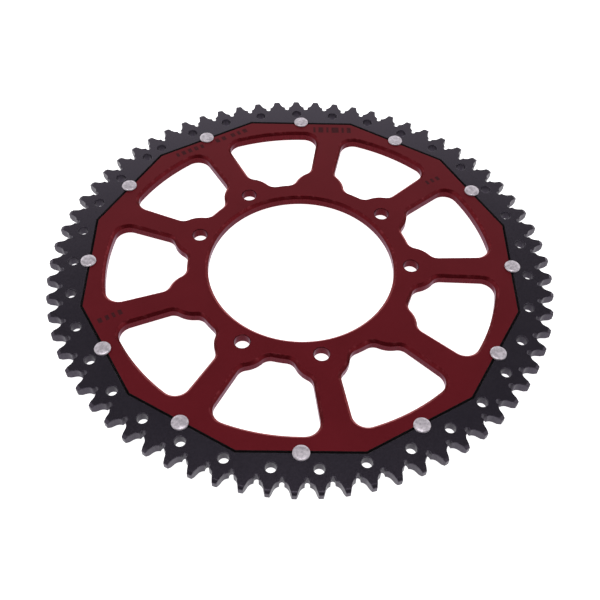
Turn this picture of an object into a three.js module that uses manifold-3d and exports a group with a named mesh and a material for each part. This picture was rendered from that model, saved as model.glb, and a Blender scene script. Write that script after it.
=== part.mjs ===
// Rear chain sprocket of two metals: a steel tooth ring riveted round an aluminium carrier.
// Millimetres. +Z is the sprocket's axis and points out of its chamfered front, +X runs along
// a spoke that has a bolt hole, and the origin is the centre of the bore, midway between the
// two faces.

import * as THREE from "three";
import { mergeVertices } from "three/addons/utils/BufferGeometryUtils.js";
import Module from "manifold-3d";

// Plate
const THICKNESS = 6;
const HALF = THICKNESS / 2;
const OVERRUN = 1; // how far a cutter runs past each face

// Chain teeth, for a chain of 12.7 mm pitch
const CHAIN_PITCH = 12.7;
const TEETH = 69;
const TOOTH_ANGLE = (2 * Math.PI) / TEETH;
const PITCH_RADIUS = CHAIN_PITCH / (2 * Math.sin(TOOTH_ANGLE / 2));
const SEAT_RADIUS = 4.05; // the roller's seat between two teeth
const SEAT_HALF_ANGLE = THREE.MathUtils.degToRad(69);
const TIP_RADIUS = 142.3;
const TIP_LAND = 2.4; // width of a tooth at its tip
const TIP_BEVEL_RADIAL = 1.8;
const TIP_BEVEL_AXIAL = 1.1;
const SLOT_WIDTH = 2.5; // the mud slot in the bottom of each seat
const SLOT_BOTTOM_RADIUS = 133.2;

// Drilled holes: every second tooth has one, and the round closes with two neighbours
const DRILLED_HOLE_RADIUS = 2.85;
const DRILLED_CIRCLE_RADIUS = 128.7;
const DRILLED_HOLES = (TEETH + 1) / 2;
const FIRST_DRILLED_TOOTH = 26; // counted anticlockwise from the tooth next to +X

// Parting line between ring and carrier, a regular polygon
const SIDES = 12;
const SIDE_ANGLE = (2 * Math.PI) / SIDES;
const PARTING_APOTHEM = 119.5; // centre to the middle of a side
const PARTING_GAP = 0.3;
const PARTING_CHAMFER = 0.5;

// Rivets, one in the middle of each side, half in the ring and half in the carrier
const RIVET_CIRCLE_RADIUS = 120.2;
const RIVET_SHANK_RADIUS = 2.4;
const RIVET_HOLE_RADIUS = 2.6;
const RIVET_HEAD_RADIUS = 4.5;
const RIVET_HEAD_FLAT_RADIUS = 3.5;
const RIVET_HEAD_HEIGHT = 1.2;
const RIVET_HEAD_RIM = 0.6; // height of the head's upright rim
const RIVET_HEAD_GAP = 0.1; // between the head and the plates it clamps

// Carrier
const BORE_RADIUS = 52.7;
const BORE_CHAMFER = 1.6;
const SPOKES = 9;
const SPOKE_ANGLE = (2 * Math.PI) / SPOKES;
const SPOKE_HALF_WIDTH_INNER = 7.35; // at SPOKE_INNER_RADIUS
const SPOKE_HALF_WIDTH_OUTER = 8.1; // at SPOKE_OUTER_RADIUS
const SPOKE_INNER_RADIUS = 78.3;
const SPOKE_OUTER_RADIUS = 102.9;
const BOLT_CIRCLE_RADIUS = 62.5;
const BOLT_HOLE_RADIUS = 4.25;
const BOLT_HOLE_CHAMFER = 0.25;
const BOLTED_SPOKES = [0, 1, 3, 4, 6, 7];
const BOSS_RADIUS = 15.1; // round pad of each spoke on the bolt circle

// Windows between the spokes
const WINDOW_OUTER_RADIUS = 110.1;
const WINDOW_INNER_RADIUS = 64.7;
const WINDOW_CORNER_RADIUS = 8; // the two outer corners
const WINDOW_FILLET_RADIUS = 6.1; // beside each boss
const WINDOW_CHAMFER = 1.6;

// Fineness
const FLATNESS = 0.001; // corners this close to a straight edge are left out
const DRILLED_HOLE_SEGMENTS = 12;
const BOLT_HOLE_SEGMENTS = 20;
const BORE_SEGMENTS = 90;
const RIVET_SEGMENTS = 14;
const SLOT_STEPS = 2; // half a mud slot
const SEAT_STEPS = 2; // one side of a roller seat
const WINDOW_OUTER_STEPS = 3; // half of each window's arcs
const WINDOW_CORNER_STEPS = 4;
const SPOKE_FILLET_STEPS = 2;
const BOSS_STEPS = 4;
const HUB_FILLET_STEPS = 3;
const WINDOW_INNER_STEPS = 1;

// Finishes
const STEEL_RING = new THREE.MeshStandardMaterial({ color: 0x2b292d, roughness: 0.55, metalness: 0.7 });
const RED_CARRIER = new THREE.MeshStandardMaterial({ color: 0x6e1a24, roughness: 0.45, metalness: 0.8 });
const BRIGHT_RIVET = new THREE.MeshStandardMaterial({ color: 0xbdb6bc, roughness: 0.4, metalness: 0.9 });

const wasm = await Module();
wasm.setup();

// A closed geometry as a solid for adding, cutting and intersecting.
function solidOf(geometry) {
  geometry.deleteAttribute("normal");
  geometry.deleteAttribute("uv");
  const merged = mergeVertices(geometry);
  return new wasm.Manifold(
    new wasm.Mesh({
      numProp: 3,
      vertProperties: merged.attributes.position.array,
      triVerts: new Uint32Array(merged.index.array),
    }),
  );
}

// The finished solid as a named mesh.
function meshOf(name, solid, material) {
  const { vertProperties, triVerts } = solid.asOriginal().simplify(FLATNESS).getMesh();
  const geometry = new THREE.BufferGeometry();
  geometry.setAttribute("position", new THREE.BufferAttribute(vertProperties, 3));
  geometry.setIndex(new THREE.BufferAttribute(triVerts, 1));
  const flatShaded = geometry.toNonIndexed();
  flatShaded.computeVertexNormals();
  const mesh = new THREE.Mesh(flatShaded, material);
  mesh.name = name;
  return mesh;
}

// A solid of revolution about Z from [radius, height] pairs that start and end on the axis.
// Its corners lie at firstCorner and every full turn / segments from there, anticlockwise from +X.
function turned(profile, segments, firstCorner = 0) {
  const points = profile.map(([radius, height]) => new THREE.Vector2(radius, height));
  const geometry = new THREE.LatheGeometry(points, segments, firstCorner + Math.PI / 2);
  geometry.rotateX(Math.PI / 2);
  return solidOf(geometry);
}

// A cutter that leaves a hole with a 45 degree chamfer at the front face.
function chamferedHole(radius, chamfer, segments, firstCorner) {
  const flare = chamfer + OVERRUN;
  const profile = [
    [0, -HALF - OVERRUN],
    [radius, -HALF - OVERRUN],
    [radius, HALF - chamfer],
    [radius + flare, HALF + OVERRUN],
    [0, HALF + OVERRUN],
  ];
  return turned(profile, segments, firstCorner);
}

// A cutter that leaves a plain hole.
function plainHole(radius, segments) {
  const geometry = new THREE.CylinderGeometry(radius, radius, THICKNESS + 2 * OVERRUN, segments);
  geometry.rotateX(Math.PI / 2);
  return solidOf(geometry);
}

// Copies of a solid placed on a circle about the axis at the given angles, each turned with its angle.
function onCircle(solid, circleRadius, angles) {
  const copies = angles.map((angle) => {
    const turn = new THREE.Matrix4().makeRotationZ(angle);
    const shift = new THREE.Matrix4().makeTranslation(circleRadius, 0, 0);
    return solid.transform(turn.multiply(shift).elements);
  });
  return wasm.Manifold.union(copies);
}

function evenAngles(count, first = 0) {
  return Array.from({ length: count }, (_, index) => first + (index * 2 * Math.PI) / count);
}

// Points on an arc about a centre, from one angle to another, both ends included.
function arcPoints(centre, radius, from, to, steps) {
  return Array.from({ length: steps + 1 }, (_, index) => {
    const angle = from + ((to - from) * index) / steps;
    return new THREE.Vector2(
      centre.x + radius * Math.cos(angle),
      centre.y + radius * Math.sin(angle),
    );
  });
}

// One tooth space, symmetric about +X: half a tip on each side, straight flanks that run
// tangent into the roller seat, and the mud slot in the bottom of the seat.
function toothSpace() {
  const slotHalf = SLOT_WIDTH / 2;
  const slotCentre = new THREE.Vector2(SLOT_BOTTOM_RADIUS + slotHalf, 0);
  const seatCentre = new THREE.Vector2(PITCH_RADIUS, 0);
  const slotMouth = Math.asin(slotHalf / SEAT_RADIUS);
  const tipCorner = new THREE.Vector2(TIP_RADIUS, -TIP_LAND / 2);
  tipCorner.rotateAround(new THREE.Vector2(0, 0), TOOTH_ANGLE / 2);
  const inward = Math.PI; // direction from the seat's centre to the axis
  const seatStart = inward - slotMouth;
  const seatEnd = inward - SEAT_HALF_ANGLE;
  const upperSeat = arcPoints(seatCentre, SEAT_RADIUS, seatStart, seatEnd, SEAT_STEPS);
  const slotBottom = arcPoints(slotCentre, slotHalf, inward, Math.PI / 2, SLOT_STEPS);
  const upper = [...slotBottom, ...upperSeat, tipCorner];
  const lower = upper
    .slice(1)
    .reverse()
    .map((point) => new THREE.Vector2(point.x, -point.y));
  return [...lower, ...upper];
}

// The whole toothed outline, one tooth space after another.
function toothOutline() {
  const space = toothSpace();
  const axis = new THREE.Vector2(0, 0);
  return evenAngles(TEETH).flatMap((angle) => space.map((point) => point.clone().rotateAround(axis, angle)));
}

// Holes for the rivets, which cut a half round into each plate.
function rivetHoles() {
  return onCircle(plainHole(RIVET_HOLE_RADIUS, RIVET_SEGMENTS), RIVET_CIRCLE_RADIUS, evenAngles(SIDES));
}

// The radius of a polygon's corners, from the distance to the middle of its sides.
function cornerRadius(apothem, sides) {
  return apothem / Math.cos(Math.PI / sides);
}

// The space the teeth lie in, bevelled at both faces towards the tips. A flat of this
// many-sided disc lies across each tooth tip.
function toothEnvelope() {
  const tip = cornerRadius(TIP_RADIUS, TEETH);
  const crease = tip - TIP_BEVEL_RADIAL;
  const profile = [
    [0, -HALF],
    [crease, -HALF],
    [tip, -HALF + TIP_BEVEL_AXIAL],
    [tip, HALF - TIP_BEVEL_AXIAL],
    [crease, HALF],
    [0, HALF],
  ];
  return turned(profile, TEETH);
}

function toothRing() {
  const blank = new THREE.ExtrudeGeometry(new THREE.Shape(toothOutline()), {
    depth: THICKNESS,
    bevelEnabled: false,
  });
  blank.translate(0, 0, -HALF);
  const drilledAngles = Array.from(
    { length: DRILLED_HOLES },
    (_, index) => (FIRST_DRILLED_TOOTH + 2 * index + 1 / 2) * TOOTH_ANGLE,
  );
  const opening = chamferedHole(
    cornerRadius(PARTING_APOTHEM + PARTING_GAP / 2, SIDES),
    PARTING_CHAMFER,
    SIDES,
    SIDE_ANGLE / 2,
  );
  const drilledHole = plainHole(DRILLED_HOLE_RADIUS, DRILLED_HOLE_SEGMENTS);
  const solid = solidOf(blank)
    .intersect(toothEnvelope())
    .subtract(opening)
    .subtract(onCircle(drilledHole, DRILLED_CIRCLE_RADIUS, drilledAngles))
    .subtract(rivetHoles());
  return meshOf("tooth_ring", solid, STEEL_RING);
}

// Where two circles cross, on the left of the way from the first centre to the second.
function circlesCross(centreA, radiusA, centreB, radiusB) {
  const between = centreB.clone().sub(centreA);
  const distance = between.length();
  const along = (distance ** 2 + radiusA ** 2 - radiusB ** 2) / (2 * distance);
  const aside = Math.sqrt(radiusA ** 2 - along ** 2);
  const ahead = between.normalize();
  return centreA
    .clone()
    .addScaledVector(ahead, along)
    .add(new THREE.Vector2(-ahead.y, ahead.x).multiplyScalar(aside));
}

// Where a line from a point along a unit direction leaves a circle.
function lineLeavesCircle(point, direction, centre, radius) {
  const toPoint = point.clone().sub(centre);
  const along = toPoint.dot(direction);
  const reach = Math.sqrt(along ** 2 - toPoint.lengthSq() + radius ** 2);
  return point.clone().addScaledVector(direction, reach - along);
}

// Points on an arc about a centre that starts towards one point and ends towards another.
function arcTowards(centre, radius, first, last, leftward, steps) {
  const from = first.clone().sub(centre).angle();
  const ahead = THREE.MathUtils.euclideanModulo(last.clone().sub(centre).angle() - from, 2 * Math.PI);
  const sweep = leftward ? ahead : ahead - 2 * Math.PI;
  return arcPoints(centre, radius, from, from + sweep, steps);
}

// The outline of one window, symmetric about +X, anticlockwise from the middle of its outer side.
function windowOutline() {
  const axis = new THREE.Vector2(0, 0);
  const alongSpoke = new THREE.Vector2(1, 0).rotateAround(axis, SPOKE_ANGLE / 2);
  const fromSpoke = new THREE.Vector2(alongSpoke.y, -alongSpoke.x);
  const sideInner = alongSpoke.clone().multiplyScalar(SPOKE_INNER_RADIUS);
  sideInner.addScaledVector(fromSpoke, SPOKE_HALF_WIDTH_INNER);
  const sideOuter = alongSpoke.clone().multiplyScalar(SPOKE_OUTER_RADIUS);
  sideOuter.addScaledVector(fromSpoke, SPOKE_HALF_WIDTH_OUTER);
  const alongSide = sideOuter.clone().sub(sideInner).normalize();
  const fromSide = new THREE.Vector2(alongSide.y, -alongSide.x);
  const boss = alongSpoke.clone().multiplyScalar(BOLT_CIRCLE_RADIUS);
  const corner = lineLeavesCircle(
    sideInner.clone().addScaledVector(fromSide, WINDOW_CORNER_RADIUS),
    alongSide,
    axis,
    WINDOW_OUTER_RADIUS - WINDOW_CORNER_RADIUS,
  );
  const sideFillet = lineLeavesCircle(
    sideInner.clone().addScaledVector(fromSide, WINDOW_FILLET_RADIUS),
    alongSide,
    boss,
    BOSS_RADIUS + WINDOW_FILLET_RADIUS,
  );
  const hubFillet = circlesCross(
    boss,
    BOSS_RADIUS + WINDOW_FILLET_RADIUS,
    axis,
    WINDOW_INNER_RADIUS + WINDOW_FILLET_RADIUS,
  );
  const cornerAtSide = corner.clone().sub(fromSide);
  const filletAtSide = sideFillet.clone().sub(fromSide);
  const cornerBearing = corner.angle();
  const pastCorner = corner.clone().multiplyScalar(2);
  const hubBearing = hubFillet.angle();
  const upper = [
    ...arcPoints(axis, WINDOW_OUTER_RADIUS, 0, cornerBearing, WINDOW_OUTER_STEPS),
    ...arcTowards(corner, WINDOW_CORNER_RADIUS, pastCorner, cornerAtSide, true, WINDOW_CORNER_STEPS).slice(1),
    ...arcTowards(sideFillet, WINDOW_FILLET_RADIUS, filletAtSide, boss, true, SPOKE_FILLET_STEPS),
    ...arcTowards(boss, BOSS_RADIUS, sideFillet, hubFillet, false, BOSS_STEPS).slice(1),
    ...arcTowards(hubFillet, WINDOW_FILLET_RADIUS, boss, axis, true, HUB_FILLET_STEPS).slice(1),
    ...arcPoints(axis, WINDOW_INNER_RADIUS, hubBearing, 0, WINDOW_INNER_STEPS).slice(1),
  ];
  const lower = upper
    .slice(1, -1)
    .reverse()
    .map((point) => new THREE.Vector2(point.x, -point.y));
  return [...upper, ...lower];
}

// A cutter that leaves one window with a 45 degree chamfer at the front face. It flares at
// its other end too, but behind the plate.
function windowCutter() {
  const flare = WINDOW_CHAMFER + OVERRUN;
  const geometry = new THREE.ExtrudeGeometry(new THREE.Shape(windowOutline()), {
    depth: THICKNESS + OVERRUN - WINDOW_CHAMFER,
    bevelThickness: flare,
    bevelSize: -flare,
    bevelOffset: flare,
    bevelSegments: 1,
  });
  geometry.translate(0, 0, -HALF - OVERRUN);
  return solidOf(geometry);
}

function carrier() {
  const rim = cornerRadius(PARTING_APOTHEM - PARTING_GAP / 2, SIDES);
  const profile = [
    [0, -HALF],
    [rim, -HALF],
    [rim, HALF - PARTING_CHAMFER],
    [rim - PARTING_CHAMFER, HALF],
    [0, HALF],
  ];
  const plate = turned(profile, SIDES, SIDE_ANGLE / 2);
  const bore = chamferedHole(BORE_RADIUS, BORE_CHAMFER, BORE_SEGMENTS);
  const windows = onCircle(windowCutter(), 0, evenAngles(SPOKES, SPOKE_ANGLE / 2));
  const boltHole = chamferedHole(BOLT_HOLE_RADIUS, BOLT_HOLE_CHAMFER, BOLT_HOLE_SEGMENTS);
  const boltAngles = BOLTED_SPOKES.map((spoke) => spoke * SPOKE_ANGLE);
  const solid = plate
    .subtract(bore)
    .subtract(windows)
    .subtract(onCircle(boltHole, BOLT_CIRCLE_RADIUS, boltAngles))
    .subtract(rivetHoles());
  return meshOf("carrier", solid, RED_CARRIER);
}

// A rivet with the same low head on both faces, its edge sloping down to a short upright rim.
function rivet(name, angle) {
  const underHead = HALF + RIVET_HEAD_GAP;
  const rim = underHead + RIVET_HEAD_RIM;
  const top = underHead + RIVET_HEAD_HEIGHT;
  const upper = [
    [RIVET_SHANK_RADIUS, underHead],
    [RIVET_HEAD_RADIUS, underHead],
    [RIVET_HEAD_RADIUS, rim],
    [RIVET_HEAD_FLAT_RADIUS, top],
    [0, top],
  ];
  const lower = upper.map(([radius, height]) => [radius, -height]).reverse();
  const mesh = meshOf(name, turned([...lower, ...upper], RIVET_SEGMENTS), BRIGHT_RIVET);
  mesh.position.set(RIVET_CIRCLE_RADIUS * Math.cos(angle), RIVET_CIRCLE_RADIUS * Math.sin(angle), 0);
  return mesh;
}

const sprocket = new THREE.Group();
sprocket.add(toothRing(), carrier());
evenAngles(SIDES).forEach((angle, index) => {
  sprocket.add(rivet(`rivet_${String(index + 1).padStart(2, "0")}`, angle));
});

export default sprocket;
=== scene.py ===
"""Looks of a two-metal rear chain sprocket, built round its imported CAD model.

The fine meshes keep to the CAD sizes and add what the faceted solids lack: round arcs, broken
edges, peened rivet heads and finishes. Outlines are in millimetres, objects in metres.
"""

import math

import bpy
from mathutils import Matrix, Vector, noise
from mathutils.geometry import delaunay_2d_cdt


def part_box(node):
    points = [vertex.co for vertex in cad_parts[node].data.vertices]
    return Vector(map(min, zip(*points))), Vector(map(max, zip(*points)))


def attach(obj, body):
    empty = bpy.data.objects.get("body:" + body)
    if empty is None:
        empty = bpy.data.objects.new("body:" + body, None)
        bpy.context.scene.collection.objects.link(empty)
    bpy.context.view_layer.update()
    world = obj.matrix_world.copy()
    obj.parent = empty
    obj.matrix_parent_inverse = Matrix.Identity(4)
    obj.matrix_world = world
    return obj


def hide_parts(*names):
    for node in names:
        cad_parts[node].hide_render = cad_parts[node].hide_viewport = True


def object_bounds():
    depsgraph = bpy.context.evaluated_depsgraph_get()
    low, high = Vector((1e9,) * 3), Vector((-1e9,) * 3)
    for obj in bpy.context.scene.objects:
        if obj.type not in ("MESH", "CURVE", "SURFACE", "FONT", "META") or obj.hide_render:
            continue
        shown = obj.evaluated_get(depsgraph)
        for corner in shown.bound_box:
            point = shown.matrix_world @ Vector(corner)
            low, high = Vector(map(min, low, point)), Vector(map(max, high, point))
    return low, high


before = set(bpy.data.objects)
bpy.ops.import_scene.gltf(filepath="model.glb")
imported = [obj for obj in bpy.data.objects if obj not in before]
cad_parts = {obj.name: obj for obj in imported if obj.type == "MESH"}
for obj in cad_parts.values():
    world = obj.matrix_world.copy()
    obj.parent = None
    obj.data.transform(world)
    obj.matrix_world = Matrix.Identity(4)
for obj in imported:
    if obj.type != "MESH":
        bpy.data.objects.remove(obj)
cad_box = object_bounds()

MM = 0.001
FULL_TURN = 2 * math.pi


# ---------------------------------------------------------------- sizes in millimetres
def node_box(node):
    """A node's lowest and highest corners, in millimetres."""
    low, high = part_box(node)
    return Vector(low) / MM, Vector(high) / MM


HALF = node_box("carrier")[1].z  # half the plates' thickness
RIVET_NODES = sorted(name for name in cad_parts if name.startswith("rivet_"))
RIVET_TOP = node_box(RIVET_NODES[0])[1].z

# Teeth
CHAIN_PITCH = 12.7
TEETH = 69
TOOTH_ANGLE = FULL_TURN / TEETH
PITCH_RADIUS = CHAIN_PITCH / (2 * math.sin(TOOTH_ANGLE / 2))
SEAT_RADIUS = 4.05
SEAT_HALF_ANGLE = math.radians(69)
TIP_RADIUS = 142.25  # just inside the CAD model's tips
TIP_LAND = 2.4
TIP_CORNER_RADIUS = 0.35
TIP_BEVEL_RADIAL = 1.8
TIP_BEVEL_AXIAL = 1.1
CREASE_BLEND = 0.1  # how far the bevel's crease is rounded to each side
CREASE_STOPS = (-1.0, -0.5, 0.0, 0.5, 1.0)  # a flank's points about the crease, in blends
CREASE_REACH = 1.01 * CREASE_BLEND  # points this near the crease are tied across their tooth
SLOT_WIDTH = 2.5
SLOT_BOTTOM_RADIUS = 133.2

# Drilled holes
DRILLED_HOLE_RADIUS = 2.85
DRILLED_CIRCLE_RADIUS = 128.7
DRILLED_HOLES = (TEETH + 1) // 2
FIRST_DRILLED_TOOTH = 26

# Parting line and rivets
SIDES = 12
SIDE_ANGLE = FULL_TURN / SIDES
PARTING_APOTHEM = 119.5
PARTING_GAP = 0.3
PARTING_CHAMFER = 0.5
RIVET_CIRCLE_RADIUS = 120.2
RIVET_HOLE_RADIUS = 2.6
RIVET_SHANK_RADIUS = 2.4
RIVET_HEAD_RADIUS = 4.45
RIVET_HEAD_GAP = 0.1

# Carrier
BORE_RADIUS = 52.7
BORE_CHAMFER = 1.6
SPOKES = 9
SPOKE_ANGLE = FULL_TURN / SPOKES
SPOKE_HALF_WIDTH_INNER = 7.35
SPOKE_HALF_WIDTH_OUTER = 8.1
SPOKE_INNER_RADIUS = 78.3
SPOKE_OUTER_RADIUS = 102.9
BOLT_CIRCLE_RADIUS = 62.5
BOLT_HOLE_RADIUS = 4.25
BOLT_HOLE_CHAMFER = 0.25
BOLTED_SPOKES = (0, 1, 3, 4, 6, 7)
BOSS_RADIUS = 15.1
WINDOW_OUTER_RADIUS = 110.1
WINDOW_INNER_RADIUS = 64.7
WINDOW_CORNER_RADIUS = 8.0
WINDOW_FILLET_RADIUS = 6.1
WINDOW_CHAMFER = 1.6

# Edges
EDGE_BREAK = 0.25  # the small chamfer of an edge that has no other
EDGE_ROUND = 0.18  # radius to which every edge is rounded
EDGE_HOLD = 0.3  # flat margin that keeps a face's shading flat up to its edge
EDGE_STEPS = 3
TOOTH_EDGE_BREAK = 0.18
TOOTH_EDGE_HOLD = 0.12
MITRE_LIMIT = 0.5  # keeps the moved corner of a sharp bend from running away

# Fineness: the steps of each arc, or of a full circle
SLOT_STEPS = 6
SEAT_STEPS = 7
TIP_CORNER_STEPS = 3
RING_NOTCH_STEPS = 16
CARRIER_NOTCH_STEPS = 12
WINDOW_OUTER_STEPS = 12
WINDOW_CORNER_STEPS = 14
SPOKE_FILLET_STEPS = 6
BOSS_STEPS = 14
HUB_FILLET_STEPS = 8
WINDOW_INNER_STEPS = 3
DRILLED_HOLE_STEPS = 32
BOLT_HOLE_STEPS = 48
BORE_STEPS = 240
FILL_INSIDE = 1  # the triangulation keeps what lies inside its outlines
FILL_TOLERANCE = 1e-5

# Rivet heads
HEAD_STEPS = 16
HEAD_SEGMENTS = 48
HEAD_SQUARENESS = 3.4  # 2 is a half ellipse, more is flatter with a rounder shoulder
BROAD_DENT_DEPTH = 0.05
BROAD_DENT_WAVES = 0.35  # to a millimetre
FINE_DENT_DEPTH = 0.03
FINE_DENT_WAVES = 0.9
FINE_DENT_LAYER = 5  # sets the fine dents apart from the broad ones
HEAD_SEED = 7.3  # sets one rivet's dents apart from the next one's
SIDE_SEED = 3.1
DENT_FADE = 4  # how sharply the dents end at a head's rim

# Etched marks: (degrees of the side they lie along, along it, out from the axis, bar widths, height)
MARK_SPACE = 1.9
MARK_ROWS = (
    (120, -14.2, 114.8, (1.8, 2.4, 2.4, 2.4, 2.0), 3.4),
    (120, 7.3, 114.8, (2.6, 2.6), 3.4),
    (120, 20.3, 114.8, (2.6, 2.0, 2.8), 3.4),
    (90, 20.0, 113.6, (1.4, 3.2, 1.4, 4.6, 1.4, 2.6), 5.0),
    (120, 104.6, 19.3, (1.6, 1.8, 2.2), 3.2),
    (120, -108.6, 18.0, (2.4, 2.0, 1.6, 2.2), 3.4),
)

# Studio, in metres. Each band of light is given by where it begins, is full, begins to fall and ends.
FLOOR_HALF_SIZE = 4.0
FLOOR_CLEARANCE = 0.0001
FLOOR_GLOW = 1.05  # the floor and the backdrop shine alike, so no horizon shows
AMBIENT = 0.15
SWEEP_LIGHT = 1.18
SWEEP_BACK = (0.35, 0.75, 2.0, 3.0)  # across the sweep, as the y of a direction
SWEEP_HEIGHT = (0.0, 0.25, 0.59, 0.735)  # as the z of a direction
SWEEP_TILT = 0.07  # its top edge leans down to the right
BOX_LIGHT = 0.9
BOX_SIDE = (0.45, 0.70, 2.0, 3.0)  # to either side, as the x of a direction
BOX_HEIGHT = (0.1, 0.3, 0.75, 0.9)
TOP_LIGHT = 3.4
TOP_HEIGHT = (0.915, 0.99, 2.0, 3.0)

# Camera
SENSOR_WIDTH = 36.0
LENS = 54.0
VIEW_ELEVATION = math.radians(51.993)
VIEW_ROLL = math.radians(1.913)
VIEW_TURN = math.radians(-1.487)
VIEW_DISTANCE = 0.50965
VIEW_RIGHT = -0.00064
VIEW_UP = -0.02105
VIEW_TARGET_HEIGHT = 0.0041
NEAREST_SEEN = 0.01


# ---------------------------------------------------------------- plane geometry
def polar(radius, angle):
    return Vector((radius * math.cos(angle), radius * math.sin(angle)))


def turned(point, angle):
    return Matrix.Rotation(angle, 2) @ point


def mirrored(point):
    return Vector((point.x, -point.y))


def heading(vector):
    return math.atan2(vector.y, vector.x)


def arc(centre, radius, start, end, steps):
    """Points on an arc, both ends included."""
    return [centre + polar(radius, start + (end - start) * i / steps) for i in range(steps + 1)]


def arc_towards(centre, radius, first, last, leftward, steps):
    """An arc that starts towards one point and ends towards another."""
    start = heading(first - centre)
    sweep = (heading(last - centre) - start) % FULL_TURN
    if not leftward:
        sweep -= FULL_TURN
    return arc(centre, radius, start, start + sweep, steps)


def circle(centre, radius, steps):
    """A hole's outline, clockwise."""
    return [centre + polar(radius, -FULL_TURN * i / steps) for i in range(steps)]


def circles_cross(centre_a, radius_a, centre_b, radius_b):
    """Where two circles cross, on the left of the way from the first centre to the second."""
    between = centre_b - centre_a
    distance = between.length
    along = (distance**2 + radius_a**2 - radius_b**2) / (2 * distance)
    aside = math.sqrt(radius_a**2 - along**2)
    ahead = between.normalized()
    return centre_a + ahead * along + Vector((-ahead.y, ahead.x)) * aside


def line_leaves_circle(point, direction, centre, radius):
    """Where a line from a point along a unit direction leaves a circle."""
    away = point - centre
    along = away.dot(direction)
    reach = math.sqrt(along**2 - away.length_squared + radius**2)
    return point + direction * (reach - along)


def rounded_corner(before, corner, after, radius, steps):
    """The arc that rounds a corner between two straight stretches."""
    back = (before - corner).normalized()
    ahead = (after - corner).normalized()
    half = back.angle(ahead) / 2
    centre = corner + (back + ahead).normalized() * radius / math.sin(half)
    start = corner + back * radius / math.tan(half)
    end = corner + ahead * radius / math.tan(half)
    leftward = (corner - before).cross(after - corner) > 0
    return arc_towards(centre, radius, start, end, leftward, steps)


def inset(points, distance):
    """A closed outline moved to the left of its own direction, corners mitred."""
    moved = []
    for i, point in enumerate(points):
        before = (point - points[i - 1]).normalized()
        after = (points[(i + 1) % len(points)] - point).normalized()
        normal = Vector((-before.y - after.y, before.x + after.x)).normalized()
        stretch = max(MITRE_LIMIT, normal.dot(Vector((-after.y, after.x))))
        moved.append(point + normal * (distance / stretch))
    return moved


# ---------------------------------------------------------------- outlines, material on the left
def tooth_space():
    """One tooth space about +X, from one tooth's tip to the next one's."""
    slot_half = SLOT_WIDTH / 2
    slot_centre = Vector((SLOT_BOTTOM_RADIUS + slot_half, 0))
    seat_centre = Vector((PITCH_RADIUS, 0))
    slot_mouth = math.asin(slot_half / SEAT_RADIUS)
    tip_corner = turned(Vector((TIP_RADIUS, -TIP_LAND / 2)), TOOTH_ANGLE / 2)
    tip_middle = polar(TIP_RADIUS, TOOTH_ANGLE / 2)
    slot = arc(slot_centre, slot_half, math.pi, math.pi / 2, SLOT_STEPS)
    seat_end = math.pi - SEAT_HALF_ANGLE
    seat = arc(seat_centre, SEAT_RADIUS, math.pi - slot_mouth, seat_end, SEAT_STEPS)
    flank_start = seat[-1]
    crease_radius = TIP_RADIUS - TIP_BEVEL_RADIAL
    flank = []
    for stop in CREASE_STOPS:
        radius = crease_radius + stop * CREASE_BLEND
        share = (radius - flank_start.length) / (tip_corner.length - flank_start.length)
        flank.append(flank_start.lerp(tip_corner, share))
    tip = rounded_corner(flank_start, tip_corner, tip_middle, TIP_CORNER_RADIUS, TIP_CORNER_STEPS)
    upper = slot + seat + flank + tip
    lower = [mirrored(point) for point in reversed(upper[1:])]
    return lower + upper


def toothed_outline():
    space = tooth_space()
    return [turned(point, TOOTH_ANGLE * k) for k in range(TEETH) for point in space]


def bevel_drop(radius):
    """How far the teeth's faces have come in at a radius: nothing, then the bevel to the tips."""
    slope = TIP_BEVEL_AXIAL / TIP_BEVEL_RADIAL
    past = radius - (TIP_RADIUS - TIP_BEVEL_RADIAL)
    if past <= -CREASE_BLEND:
        return 0.0
    if past >= CREASE_BLEND:
        return slope * past
    return slope * (past + CREASE_BLEND) ** 2 / (4 * CREASE_BLEND)


def tooth_front(radius):
    return HALF - bevel_drop(radius)


def tooth_back(radius):
    return bevel_drop(radius) - HALF


def plate_front(_radius):
    return HALF


def plate_back(_radius):
    return -HALF


def parting_outline(apothem, outward_notches):
    """The twelve-sided parting line with its half-round rivet notches, anticlockwise."""
    dip = math.asin((RIVET_CIRCLE_RADIUS - apothem) / RIVET_HOLE_RADIUS)
    centre = Vector((RIVET_CIRCLE_RADIUS, 0))
    start = -math.pi / 2 - dip
    if outward_notches:
        notch = arc(centre, RIVET_HOLE_RADIUS, start, math.pi / 2 + dip, RING_NOTCH_STEPS)
    else:
        notch = arc(centre, RIVET_HOLE_RADIUS, start, -3 * math.pi / 2 + dip, CARRIER_NOTCH_STEPS)
    corner = polar(apothem / math.cos(SIDE_ANGLE / 2), SIDE_ANGLE / 2)
    side = notch + [corner]
    return [turned(point, SIDE_ANGLE * k) for k in range(SIDES) for point in side]


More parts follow.
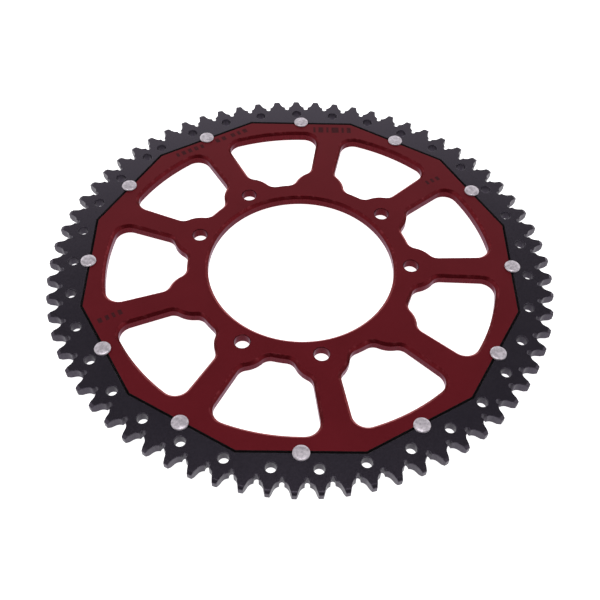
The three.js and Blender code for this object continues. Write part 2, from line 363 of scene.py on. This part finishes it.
def window_outline():
    """One window about +X, anticlockwise."""
    axis = Vector((0, 0))
    along_spoke = polar(1, SPOKE_ANGLE / 2)
    from_spoke = Vector((along_spoke.y, -along_spoke.x))
    side_inner = along_spoke * SPOKE_INNER_RADIUS + from_spoke * SPOKE_HALF_WIDTH_INNER
    side_outer = along_spoke * SPOKE_OUTER_RADIUS + from_spoke * SPOKE_HALF_WIDTH_OUTER
    along_side = (side_outer - side_inner).normalized()
    from_side = Vector((along_side.y, -along_side.x))
    boss = along_spoke * BOLT_CIRCLE_RADIUS
    corner = line_leaves_circle(
        side_inner + from_side * WINDOW_CORNER_RADIUS,
        along_side,
        axis,
        WINDOW_OUTER_RADIUS - WINDOW_CORNER_RADIUS,
    )
    side_fillet = line_leaves_circle(
        side_inner + from_side * WINDOW_FILLET_RADIUS,
        along_side,
        boss,
        BOSS_RADIUS + WINDOW_FILLET_RADIUS,
    )
    hub_fillet = circles_cross(
        boss,
        BOSS_RADIUS + WINDOW_FILLET_RADIUS,
        axis,
        WINDOW_INNER_RADIUS + WINDOW_FILLET_RADIUS,
    )
    outer_arc = arc(axis, WINDOW_OUTER_RADIUS, 0, heading(corner), WINDOW_OUTER_STEPS)
    corner_arc = arc_towards(
        corner, WINDOW_CORNER_RADIUS, corner * 2, corner - from_side, True, WINDOW_CORNER_STEPS
    )
    side_arc = arc_towards(
        side_fillet, WINDOW_FILLET_RADIUS, side_fillet - from_side, boss, True, SPOKE_FILLET_STEPS
    )
    boss_arc = arc_towards(boss, BOSS_RADIUS, side_fillet, hub_fillet, False, BOSS_STEPS)
    hub_arc = arc_towards(hub_fillet, WINDOW_FILLET_RADIUS, boss, axis, True, HUB_FILLET_STEPS)
    inner_arc = arc(axis, WINDOW_INNER_RADIUS, heading(hub_fillet), 0, WINDOW_INNER_STEPS)
    upper = outer_arc + corner_arc[1:] + side_arc + boss_arc[1:] + hub_arc[1:] + inner_arc[1:]
    lower = [mirrored(point) for point in reversed(upper[1:-1])]
    return upper + lower


# ---------------------------------------------------------------- plates
FACE, WALL, SEAM, MARK, BEVEL = range(5)  # a plate's material slots; the ring has only three


def edge_profile(chamfer, hold=EDGE_HOLD):
    """(inset, depth) steps from a face down to the wall: a chamfer with both corners rounded."""
    face = Vector((chamfer + hold, 0))
    top = Vector((chamfer, 0))
    bottom = Vector((0, chamfer))
    wall = Vector((0, chamfer + hold))
    radius = min(EDGE_ROUND, chamfer)
    first = rounded_corner(face, top, bottom, radius, EDGE_STEPS)
    second = rounded_corner(top, bottom, wall, radius, EDGE_STEPS)
    return [face] + first + second + [wall]


def rows_round(outline, profile, height, downward):
    """Rows of points round an outline that follow an edge profile in from a face."""
    rows = []
    for step in profile:
        moved = inset(outline, step.x)
        rows.append([Vector((p.x, p.y, height(p.length) + downward * step.y)) for p in moved])
    return rows


class Plate:
    """A flat plate made of walls round its outlines and two triangulated faces."""

    def __init__(self, name):
        self.name = name
        self.points = []
        self.faces = []
        self.slots = []
        self.wear = []
        self.front_edges = []
        self.back_edges = []

    def wall(
        self, outline, front, back, front_height=plate_front, back_height=plate_back, slot=WALL, bevel=WALL
    ):
        """A wall round an outline, with its chamfers and a margin of both faces."""
        upper_rows = rows_round(outline, front, front_height, -1)
        rows = upper_rows + list(reversed(rows_round(outline, back, back_height, 1)))
        count = len(outline)
        start = len(self.points)
        last = len(rows) - 1
        for number, row in enumerate(rows):
            self.points.extend(row)
            on_edge = number not in (0, last)
            near_face = min(number, last - number) <= EDGE_STEPS + 1
            self.wear.extend([1.0 if on_edge and near_face else 0.0] * count)
        for number in range(last):
            upper = start + number * count
            lower = upper + count
            for i in range(count):
                j = (i + 1) % count
                self.faces.append((upper + i, lower + i, lower + j, upper + j))
                if number in (0, last - 1):
                    self.slots.append(FACE)
                elif 1 < number < 2 * EDGE_STEPS + 1:
                    self.slots.append(bevel)
                else:
                    self.slots.append(slot)
        self.front_edges.append(list(range(start, start + count)))
        self.back_edges.append(list(range(start + last * count, start + (last + 1) * count)))

    def face(self, loops, facing_up, creases=(), marks=()):
        """Fills the face between an outer loop and the holes in it; marks are loops drawn on it."""
        used = [index for loop in loops for index in loop]
        place = {index: i for i, index in enumerate(used)}
        flat = [self.points[index].to_2d() for index in used]
        mark_faces = []
        for outline in marks:
            mark_faces.append(list(range(len(flat), len(flat) + len(outline))))
            flat.extend(outline)
        edges = [(place[a], place[b]) for a, b in creases]
        outer, *holes = [[place[index] for index in loop] for loop in loops]
        rings = [outer] + [list(reversed(hole)) for hole in holes] + mark_faces
        made = delaunay_2d_cdt(flat, edges, rings, FILL_INSIDE, FILL_TOLERANCE, True)
        verts, _, triangles, vert_sources, _, face_sources = made
        ids = []
        for vert, sources in zip(verts, vert_sources):
            known = [i for i in sources if i < len(used)]
            if known:
                ids.append(used[known[0]])
                continue
            ids.append(len(self.points))
            self.points.append(Vector((vert.x, vert.y, self.points[loops[0][0]].z)))
            self.wear.append(0.0)
        in_hole = set(range(1, len(loops)))
        for triangle, sources in zip(triangles, face_sources):
            if 0 not in sources or in_hole & set(sources):
                continue
            corners = [ids[i] for i in triangle]
            self.faces.append(tuple(corners if facing_up else reversed(corners)))
            self.slots.append(MARK if any(s >= len(loops) for s in sources) else FACE)

    def build(self, materials):
        piece = new_piece(self.name, self.points, self.faces, materials)
        piece.data.polygons.foreach_set("material_index", self.slots)
        wear = piece.data.attributes.new("wear", "FLOAT", "POINT")
        wear.data.foreach_set("value", self.wear)
        piece.data.update()
        return piece


def new_piece(name, points, faces, materials):
    """A smooth-shaded object from points in millimetres."""
    mesh = bpy.data.meshes.new(name)
    mesh.from_pydata([p * MM for p in points], [], faces)
    mesh.validate()
    for material in materials:
        mesh.materials.append(material)
    mesh.polygons.foreach_set("use_smooth", [True] * len(mesh.polygons))
    piece = bpy.data.objects.new(name, mesh)
    bpy.context.scene.collection.objects.link(piece)
    return piece


# ---------------------------------------------------------------- tooth ring
def tooth_ring(materials):
    plate = Plate("tooth_ring_fine")
    outline = toothed_outline()
    tip_edge = edge_profile(TOOTH_EDGE_BREAK, TOOTH_EDGE_HOLD)
    plain_edge = edge_profile(EDGE_BREAK)
    parting_edge = edge_profile(PARTING_CHAMFER)
    plate.wall(outline, tip_edge, tip_edge, tooth_front, tooth_back)
    opening = parting_outline(PARTING_APOTHEM + PARTING_GAP / 2, True)
    # the parting line's walls and chamfers take the painted shade of the groove
    plate.wall(list(reversed(opening)), parting_edge, plain_edge, slot=SEAM, bevel=SEAM)
    for k in range(DRILLED_HOLES):
        angle = (FIRST_DRILLED_TOOTH + 2 * k + 0.5) * TOOTH_ANGLE
        hole = circle(polar(DRILLED_CIRCLE_RADIUS, angle), DRILLED_HOLE_RADIUS, DRILLED_HOLE_STEPS)
        plate.wall(hole, plain_edge, plain_edge, back_height=tooth_back)
    pairs = crease_pairs(outline)
    front_rim = plate.front_edges[0]
    plate.face(plate.front_edges, True, [(front_rim[a], front_rim[b]) for a, b in pairs])
    back_rim = plate.back_edges[0]
    plate.face(plate.back_edges, False, [(back_rim[a], back_rim[b]) for a, b in pairs])
    piece = plate.build(materials)
    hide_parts("tooth_ring")
    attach(piece, "root")
    return piece


def crease_pairs(outline):
    """Point pairs that lie across a tooth from each other in the bevel and beside its crease."""
    per_space = len(outline) // TEETH
    middle = per_space // 2
    crease = TIP_RADIUS - TIP_BEVEL_RADIAL
    pairs = []
    for offset in range(1, middle + 1):
        radius = outline[middle + offset].length
        if abs(radius - crease) > CREASE_REACH:
            continue
        for k in range(TEETH):
            here = k * per_space + middle + offset
            there = ((k + 1) % TEETH) * per_space + middle - offset
            pairs.append((here, there))
    return pairs


# ---------------------------------------------------------------- carrier
def carrier(materials):
    plate = Plate("carrier_fine")
    parting_edge = edge_profile(PARTING_CHAMFER)
    plain_edge = edge_profile(EDGE_BREAK)
    rim = parting_outline(PARTING_APOTHEM - PARTING_GAP / 2, False)
    # the parting line's walls and chamfers take the painted shade of the groove
    plate.wall(rim, parting_edge, plain_edge, slot=SEAM, bevel=SEAM)
    bore = circle(Vector((0, 0)), BORE_RADIUS, BORE_STEPS)
    plate.wall(bore, edge_profile(BORE_CHAMFER), plain_edge, bevel=BEVEL)
    window = list(reversed(window_outline()))
    for k in range(SPOKES):
        turned_window = [turned(point, (k + 0.5) * SPOKE_ANGLE) for point in window]
        plate.wall(turned_window, edge_profile(WINDOW_CHAMFER), plain_edge, bevel=BEVEL)
    for spoke in BOLTED_SPOKES:
        centre = polar(BOLT_CIRCLE_RADIUS, spoke * SPOKE_ANGLE)
        hole = circle(centre, BOLT_HOLE_RADIUS, BOLT_HOLE_STEPS)
        plate.wall(hole, edge_profile(BOLT_HOLE_CHAMFER), plain_edge)
    plate.face(plate.front_edges, True, marks=etched_marks())
    plate.face(plate.back_edges, False)
    piece = plate.build(materials)
    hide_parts("carrier")
    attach(piece, "root")
    return piece


def etched_marks():
    """Plain bars etched in the front face, where such a part carries its data."""
    marks = []
    for degrees, place, distance, widths, height in MARK_ROWS:
        outward = polar(1, math.radians(degrees))
        ahead = Vector((outward.y, -outward.x))
        lower = distance - height / 2
        upper = distance + height / 2
        along = place - (sum(widths) + MARK_SPACE * (len(widths) - 1)) / 2
        for width in widths:
            end = along + width
            corners = ((along, lower), (end, lower), (end, upper), (along, upper))
            marks.append([ahead * x + outward * y for x, y in corners])
            along = end + MARK_SPACE
    return marks


# ---------------------------------------------------------------- rivets
def head_profile():
    """(radius, height above the plate) of a head, from its centre to its underside."""
    height = RIVET_TOP - HALF - RIVET_HEAD_GAP
    profile = []
    for i in range(HEAD_STEPS + 1):
        lean = (math.pi / 2) * i / HEAD_STEPS
        radius = RIVET_HEAD_RADIUS * math.sin(lean) ** (2 / HEAD_SQUARENESS)
        rise = height * math.cos(lean) ** (2 / HEAD_SQUARENESS)
        profile.append((radius, RIVET_HEAD_GAP + rise))
    return profile


def rivet(node, number, materials):
    """A rivet of two peened heads and a shank, each head dented in its own way."""
    centre = sum(node_box(node), Vector()) / 2
    half_profile = head_profile() + [(RIVET_SHANK_RADIUS, RIVET_HEAD_GAP)]
    points = []
    faces = []
    rows = []
    for side in (1, -1):
        ordered = half_profile if side > 0 else list(reversed(half_profile))
        for radius, rise in ordered:
            if radius == 0:
                depth = dent(0, 0, number, side, radius)
                points.append(Vector((0, 0, side * (HALF + rise - depth))))
                rows.append([len(points) - 1])
                continue
            row = []
            for i in range(HEAD_SEGMENTS):
                spot = polar(radius, FULL_TURN * i / HEAD_SEGMENTS)
                depth = dent(spot.x, spot.y, number, side, radius) if rise > RIVET_HEAD_GAP else 0
                row.append(len(points))
                points.append(Vector((spot.x, spot.y, side * (HALF + rise - depth))))
            rows.append(row)
    for upper, lower in zip(rows, rows[1:]):
        for i in range(HEAD_SEGMENTS):
            j = (i + 1) % HEAD_SEGMENTS
            if len(upper) == 1:
                faces.append((upper[0], lower[i], lower[j]))
            elif len(lower) == 1:
                faces.append((upper[i], lower[0], upper[j]))
            else:
                faces.append((upper[i], lower[i], lower[j], upper[j]))
    piece = new_piece(node + "_fine", [centre + p for p in points], faces, materials)
    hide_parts(node)
    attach(piece, "root")
    return piece


def dent(x, y, number, side, radius):
    """How deep the press has left a head at a spot: broad and fine dents that end at its rim."""
    seed = Vector((number * HEAD_SEED, side * SIDE_SEED, 0))
    broad = noise.noise(Vector((x, y, 0)) * BROAD_DENT_WAVES + seed) + 1
    fine = noise.noise(Vector((x, y, FINE_DENT_LAYER)) * FINE_DENT_WAVES + seed) + 1
    fade = max(0.0, 1 - (radius / RIVET_HEAD_RADIUS) ** DENT_FADE)
    return (BROAD_DENT_DEPTH * broad + FINE_DENT_DEPTH * fine) * fade


# ---------------------------------------------------------------- materials
MIX_FIRST, MIX_SECOND, MIX_RESULT = 6, 7, 2  # the mix node's colour sockets
SOFT_PATCHES = (0.35, 0.65)  # the part of a noise's range that is spread from 0 to 1
WIDE_PATCHES = (0.3, 0.7)
SPOT_DETAIL = 4.0
DRAWN_OUT = (1, 1, 0.2)  # a noise's scale along each axis
DRAWN_OUT_LONG = (1, 1, 0.15)


class Shader:
    """A principled material with short ways to add its nodes."""

    def __init__(self, name, metallic=0.0, roughness=0.5, specular=0.5, specular_tint=(1.0, 1.0, 1.0)):
        self.material = bpy.data.materials.new(name)
        self.material.use_nodes = True
        self.nodes = self.material.node_tree.nodes
        self.links = self.material.node_tree.links
        self.surface = self.nodes["Principled BSDF"]
        self.surface.inputs["Metallic"].default_value = metallic
        self.surface.inputs["Roughness"].default_value = roughness
        self.surface.inputs["Specular IOR Level"].default_value = specular
        self.surface.inputs["Specular Tint"].default_value = (*specular_tint, 1)
        self.place = self.nodes.new("ShaderNodeTexCoord").outputs["Object"]

    def noise(self, size_mm, detail, stretch=None):
        """Noise whose features are about size_mm wide, optionally drawn out along an axis."""
        texture = self.nodes.new("ShaderNodeTexNoise")
        texture.inputs["Scale"].default_value = 1 / (size_mm * MM)
        texture.inputs["Detail"].default_value = detail
        place = self.place
        if stretch:
            mapping = self.nodes.new("ShaderNodeMapping")
            mapping.inputs["Scale"].default_value = stretch
            self.links.new(place, mapping.inputs["Vector"])
            place = mapping.outputs["Vector"]
        self.links.new(place, texture.inputs["Vector"])
        return texture.outputs["Fac"]

    def remap(self, value, low, high, to_low=0.0, to_high=1.0):
        node = self.nodes.new("ShaderNodeMapRange")
        ends = {"From Min": low, "From Max": high, "To Min": to_low, "To Max": to_high}
        for name, number in ends.items():
            node.inputs[name].default_value = number
        self.links.new(value, node.inputs["Value"])
        return node.outputs["Result"]

    def patches(self, size_mm, detail=3.0, stretch=None):
        """Soft patches from 0 to 1."""
        return self.remap(self.noise(size_mm, detail, stretch), *SOFT_PATCHES)

    def times(self, a, b):
        node = self.nodes.new("ShaderNodeMath")
        node.operation = "MULTIPLY"
        for socket, value in zip(node.inputs, (a, b)):
            if isinstance(value, float):
                socket.default_value = value
            else:
                self.links.new(value, socket)
        return node.outputs[0]

    def mix(self, factor, first, second):
        node = self.nodes.new("ShaderNodeMix")
        node.data_type = "RGBA"
        self.links.new(factor, node.inputs["Factor"])
        for socket, value in ((node.inputs[MIX_FIRST], first), (node.inputs[MIX_SECOND], second)):
            if isinstance(value, tuple):
                socket.default_value = (*value, 1)
            else:
                self.links.new(value, socket)
        return node.outputs[MIX_RESULT]

    def rubbed(self, colour, bright, spots_mm, spots):
        """A colour rubbed bright in spots along the broken edges."""
        wear = self.nodes.new("ShaderNodeAttribute")
        wear.attribute_name = "wear"
        where = self.times(wear.outputs["Fac"], self.remap(self.noise(spots_mm, SPOT_DETAIL), *spots))
        return self.mix(where, colour, bright)

    def colour(self, value):
        self.links.new(value, self.surface.inputs["Base Color"])

    def roughness(self, low, high, size_mm, detail):
        """Roughness that wanders between two values in small patches."""
        value = self.remap(self.noise(size_mm, detail), *WIDE_PATCHES, low, high)
        self.links.new(value, self.surface.inputs["Roughness"])

    def bump(self, height, depth_mm):
        node = self.nodes.new("ShaderNodeBump")
        node.inputs["Distance"].default_value = depth_mm * MM
        node.inputs["Strength"].default_value = 1.0
        self.links.new(height, node.inputs["Height"])
        self.links.new(node.outputs["Normal"], self.surface.inputs["Normal"])


def ring_face_material():
    """Black coating, purple-grey in the light, with a fine grain."""
    shader = Shader("ring_face", specular=0.9, specular_tint=(0.9, 0.76, 1.0))
    blotches = shader.patches(size_mm=22)
    plain = shader.mix(blotches, (0.0085, 0.0074, 0.0112), (0.0125, 0.011, 0.0152))
    grain = shader.times(shader.remap(shader.noise(0.35, 3.0), *WIDE_PATCHES), 0.5)
    grained = shader.mix(grain, plain, (0.018, 0.0158, 0.022))
    shader.colour(shader.rubbed(grained, bright=(0.09, 0.084, 0.095), spots_mm=2.5, spots=(0.45, 0.75)))
    shader.roughness(0.18, 0.26, size_mm=0.8, detail=4.0)
    shader.bump(shader.noise(size_mm=0.30, detail=3.0), depth_mm=0.006)
    return shader.material


def ring_wall_material():
    """The same coating over cut walls, streaked from face to face."""
    shader = Shader("ring_wall", specular=0.3, specular_tint=(0.85, 0.7, 1.0))
    streaks = shader.patches(size_mm=0.5, stretch=DRAWN_OUT_LONG)
    walls = shader.mix(streaks, (0.024, 0.019, 0.029), (0.044, 0.036, 0.052))
    shader.colour(shader.rubbed(walls, bright=(0.13, 0.12, 0.14), spots_mm=2.5, spots=(0.4, 0.7)))
    shader.roughness(0.28, 0.42, size_mm=0.7, detail=3.0)
    shader.bump(shader.noise(size_mm=0.4, detail=3.0, stretch=DRAWN_OUT), depth_mm=0.01)
    return shader.material


def carrier_face_material():
    """Dark red satin anodising."""
    shader = Shader("carrier_face", metallic=0.2, specular_tint=(1.0, 0.2, 0.28))
    blotches = shader.patches(size_mm=30)
    plain = shader.mix(blotches, (0.119, 0.0058, 0.0092), (0.136, 0.0071, 0.0114))
    grain = shader.times(shader.remap(shader.noise(0.45, 3.0), *WIDE_PATCHES), 0.35)
    grained = shader.mix(grain, plain, (0.15, 0.0105, 0.017))
    shader.colour(shader.rubbed(grained, bright=(0.25, 0.05, 0.06), spots_mm=3.0, spots=(0.5, 0.8)))
    shader.roughness(0.36, 0.48, size_mm=0.9, detail=4.0)
    shader.bump(shader.noise(size_mm=0.35, detail=3.0), depth_mm=0.006)
    return shader.material


def carrier_wall_material():
    """Glossy anodised walls that turn pink-grey where they are seen at a low angle."""
    shader = Shader("carrier_wall", metallic=0.95, specular_tint=(0.85, 0.75, 0.84))
    cuts = shader.patches(size_mm=0.6, detail=2.0, stretch=DRAWN_OUT)
    walls = shader.mix(cuts, (0.062, 0.0045, 0.0068), (0.084, 0.0072, 0.011))
    shader.colour(shader.rubbed(walls, bright=(0.2, 0.05, 0.06), spots_mm=3.0, spots=(0.5, 0.8)))
    shader.roughness(0.22, 0.32, size_mm=0.7, detail=2.0)
    shader.bump(shader.noise(size_mm=0.5, detail=2.0, stretch=DRAWN_OUT), depth_mm=0.004)
    return shader.material


def carrier_bevel_material():
    """Machined chamfers, a deeper and clearer red than the faces."""
    shader = Shader("carrier_bevel", metallic=0.55, specular=0.8, specular_tint=(1.0, 0.2, 0.28))
    cuts = shader.mix(shader.patches(size_mm=9), (0.098, 0.0048, 0.007), (0.128, 0.0066, 0.0096))
    shader.colour(shader.rubbed(cuts, bright=(0.26, 0.04, 0.05), spots_mm=3.0, spots=(0.5, 0.8)))
    shader.roughness(0.26, 0.36, size_mm=0.7, detail=2.0)
    shader.bump(shader.noise(size_mm=0.5, detail=2.0), depth_mm=0.004)
    return shader.material


def seam_shade_material():
    """Painted shade in the parting line: the groove between ring and carrier painted almost black."""
    shader = Shader("seam_shade", roughness=0.8, specular=0.1)
    # painted shade: a near-black colour standing in for the shade deep in the groove
    shader.colour(shader.mix(shader.patches(size_mm=0.8), (0.004, 0.0035, 0.004), (0.012, 0.009, 0.011)))
    shader.bump(shader.noise(size_mm=0.5, detail=3.0), depth_mm=0.02)
    return shader.material


def etched_material():
    """Dull marks burnt into the anodising."""
    shader = Shader("etched_marks", roughness=0.6, specular=0.12)
    shader.colour(shader.mix(shader.patches(size_mm=0.8), (0.042, 0.0055, 0.009), (0.08, 0.0085, 0.013)))
    shader.bump(shader.noise(size_mm=0.3, detail=3.0), depth_mm=0.02)
    return shader.material


def rivet_material():
    """Bright mottled steel with small dark specks."""
    shader = Shader("rivet_steel", metallic=0.7)
    mottle = shader.patches(size_mm=1.6, detail=4.0)
    plain = shader.mix(mottle, (0.55, 0.5, 0.555), (0.87, 0.8, 0.87))
    specks = shader.times(shader.remap(shader.noise(0.35, 3.0), 0.55, 0.75), 0.5)
    shader.colour(shader.mix(specks, plain, (0.42, 0.38, 0.41)))
    shader.roughness(0.3, 0.5, size_mm=1.1, detail=4.0)
    shader.bump(shader.noise(size_mm=0.6, detail=4.0), depth_mm=0.025)
    return shader.material


# ---------------------------------------------------------------- studio
def studio_floor():
    mesh = bpy.data.meshes.new("floor")
    half = FLOOR_HALF_SIZE
    height = cad_box[0][2] - FLOOR_CLEARANCE
    corners = [(-half, -half, height), (half, -half, height), (half, half, height), (-half, half, height)]
    mesh.from_pydata(corners, [], [(0, 1, 2, 3)])
    floor = bpy.data.objects.new("floor", mesh)
    bpy.context.scene.collection.objects.link(floor)
    shader = Shader("pale_floor", roughness=0.9)
    shader.surface.inputs["Base Color"].default_value = (0.9, 0.9, 0.9, 1)
    shader.surface.inputs["Emission Color"].default_value = (1, 1, 1, 1)
    shader.surface.inputs["Emission Strength"].default_value = FLOOR_GLOW
    mesh.materials.append(shader.material)


def studio_light():
    """A soft studio: a pale sweep behind, a box at each side, a panel overhead and a dim front."""
    world = bpy.data.worlds.new("studio")
    bpy.context.scene.world = world
    world.use_nodes = True
    nodes = world.node_tree.nodes
    links = world.node_tree.links
    nodes.clear()

    def smooth_step(value, low, high, start, end):
        node = nodes.new("ShaderNodeMapRange")
        node.interpolation_type = "SMOOTHSTEP"
        node.inputs["From Min"].default_value = low
        node.inputs["From Max"].default_value = high
        node.inputs["To Min"].default_value = start
        node.inputs["To Max"].default_value = end
        links.new(value, node.inputs["Value"])
        return node.outputs["Result"]

    def combine(operation, a, b):
        node = nodes.new("ShaderNodeMath")
        node.operation = operation
        for socket, value in zip(node.inputs, (a, b)):
            if isinstance(value, (int, float)):
                socket.default_value = value
            else:
                links.new(value, socket)
        return node.outputs[0]

    def band(value, points):
        """0 outside a band, 1 inside it, with soft sides: points are its four corners."""
        rise = smooth_step(value, points[0], points[1], 0, 1)
        fall = smooth_step(value, points[2], points[3], 1, 0)
        return combine("MULTIPLY", rise, fall)

    direction = nodes.new("ShaderNodeSeparateXYZ")
    links.new(nodes.new("ShaderNodeTexCoord").outputs["Generated"], direction.inputs[0])
    x, y, z = direction.outputs
    leaning = combine("ADD", z, combine("MULTIPLY", x, SWEEP_TILT))
    back = combine("MULTIPLY", band(y, SWEEP_BACK), band(leaning, SWEEP_HEIGHT))
    sides = combine("MULTIPLY", band(combine("ABSOLUTE", x, 0), BOX_SIDE), band(z, BOX_HEIGHT))
    top = band(z, TOP_HEIGHT)
    total = combine("ADD", AMBIENT, combine("MULTIPLY", back, SWEEP_LIGHT))
    total = combine("ADD", total, combine("MULTIPLY", sides, BOX_LIGHT))
    total = combine("ADD", total, combine("MULTIPLY", top, TOP_LIGHT))
    lit = nodes.new("ShaderNodeBackground")
    links.new(total, lit.inputs["Strength"])
    plain = nodes.new("ShaderNodeBackground")
    plain.inputs["Color"].default_value = (1, 1, 1, 1)
    plain.inputs["Strength"].default_value = FLOOR_GLOW
    pick = nodes.new("ShaderNodeMixShader")
    links.new(nodes.new("ShaderNodeLightPath").outputs["Is Camera Ray"], pick.inputs["Fac"])
    links.new(lit.outputs[0], pick.inputs[1])
    links.new(plain.outputs[0], pick.inputs[2])
    links.new(pick.outputs[0], nodes.new("ShaderNodeOutputWorld").inputs["Surface"])


def camera():
    """Looks down on the front face from the near side, a little rolled."""
    turn = Matrix.Rotation(VIEW_TURN, 3, "Z")
    right = Vector((1, 0, 0))
    ahead = Vector((0, math.cos(VIEW_ELEVATION), -math.sin(VIEW_ELEVATION)))
    above = Vector((0, math.sin(VIEW_ELEVATION), math.cos(VIEW_ELEVATION)))
    rolled_right = right * math.cos(VIEW_ROLL) + above * math.sin(VIEW_ROLL)
    rolled_up = above * math.cos(VIEW_ROLL) - right * math.sin(VIEW_ROLL)
    place = Vector((0, 0, VIEW_TARGET_HEIGHT)) - ahead * VIEW_DISTANCE
    place += rolled_right * VIEW_RIGHT + rolled_up * VIEW_UP
    axes = Matrix((rolled_right, rolled_up, -ahead)).transposed()
    data = bpy.data.cameras.new("camera")
    data.sensor_width = SENSOR_WIDTH
    data.lens = LENS
    data.clip_start = NEAREST_SEEN
    seen_by = bpy.data.objects.new("camera", data)
    seen_by.matrix_world = Matrix.Translation(turn @ place) @ (turn @ axes).to_4x4()
    bpy.context.scene.collection.objects.link(seen_by)
    bpy.context.scene.camera = seen_by


# ---------------------------------------------------------------- the whole
studio_floor()
studio_light()
camera()
bpy.context.scene.view_settings.view_transform = "Standard"

# the parting line's painted shade, shared by ring and carrier
seam_shade = seam_shade_material()
tooth_ring([ring_face_material(), ring_wall_material(), seam_shade])
carrier(
    [
        carrier_face_material(),
        carrier_wall_material(),
        seam_shade,
        etched_material(),
        carrier_bevel_material(),
    ]
)
rivet_finish = rivet_material()
for number, node in enumerate(RIVET_NODES):
    rivet(node, number, [rivet_finish])
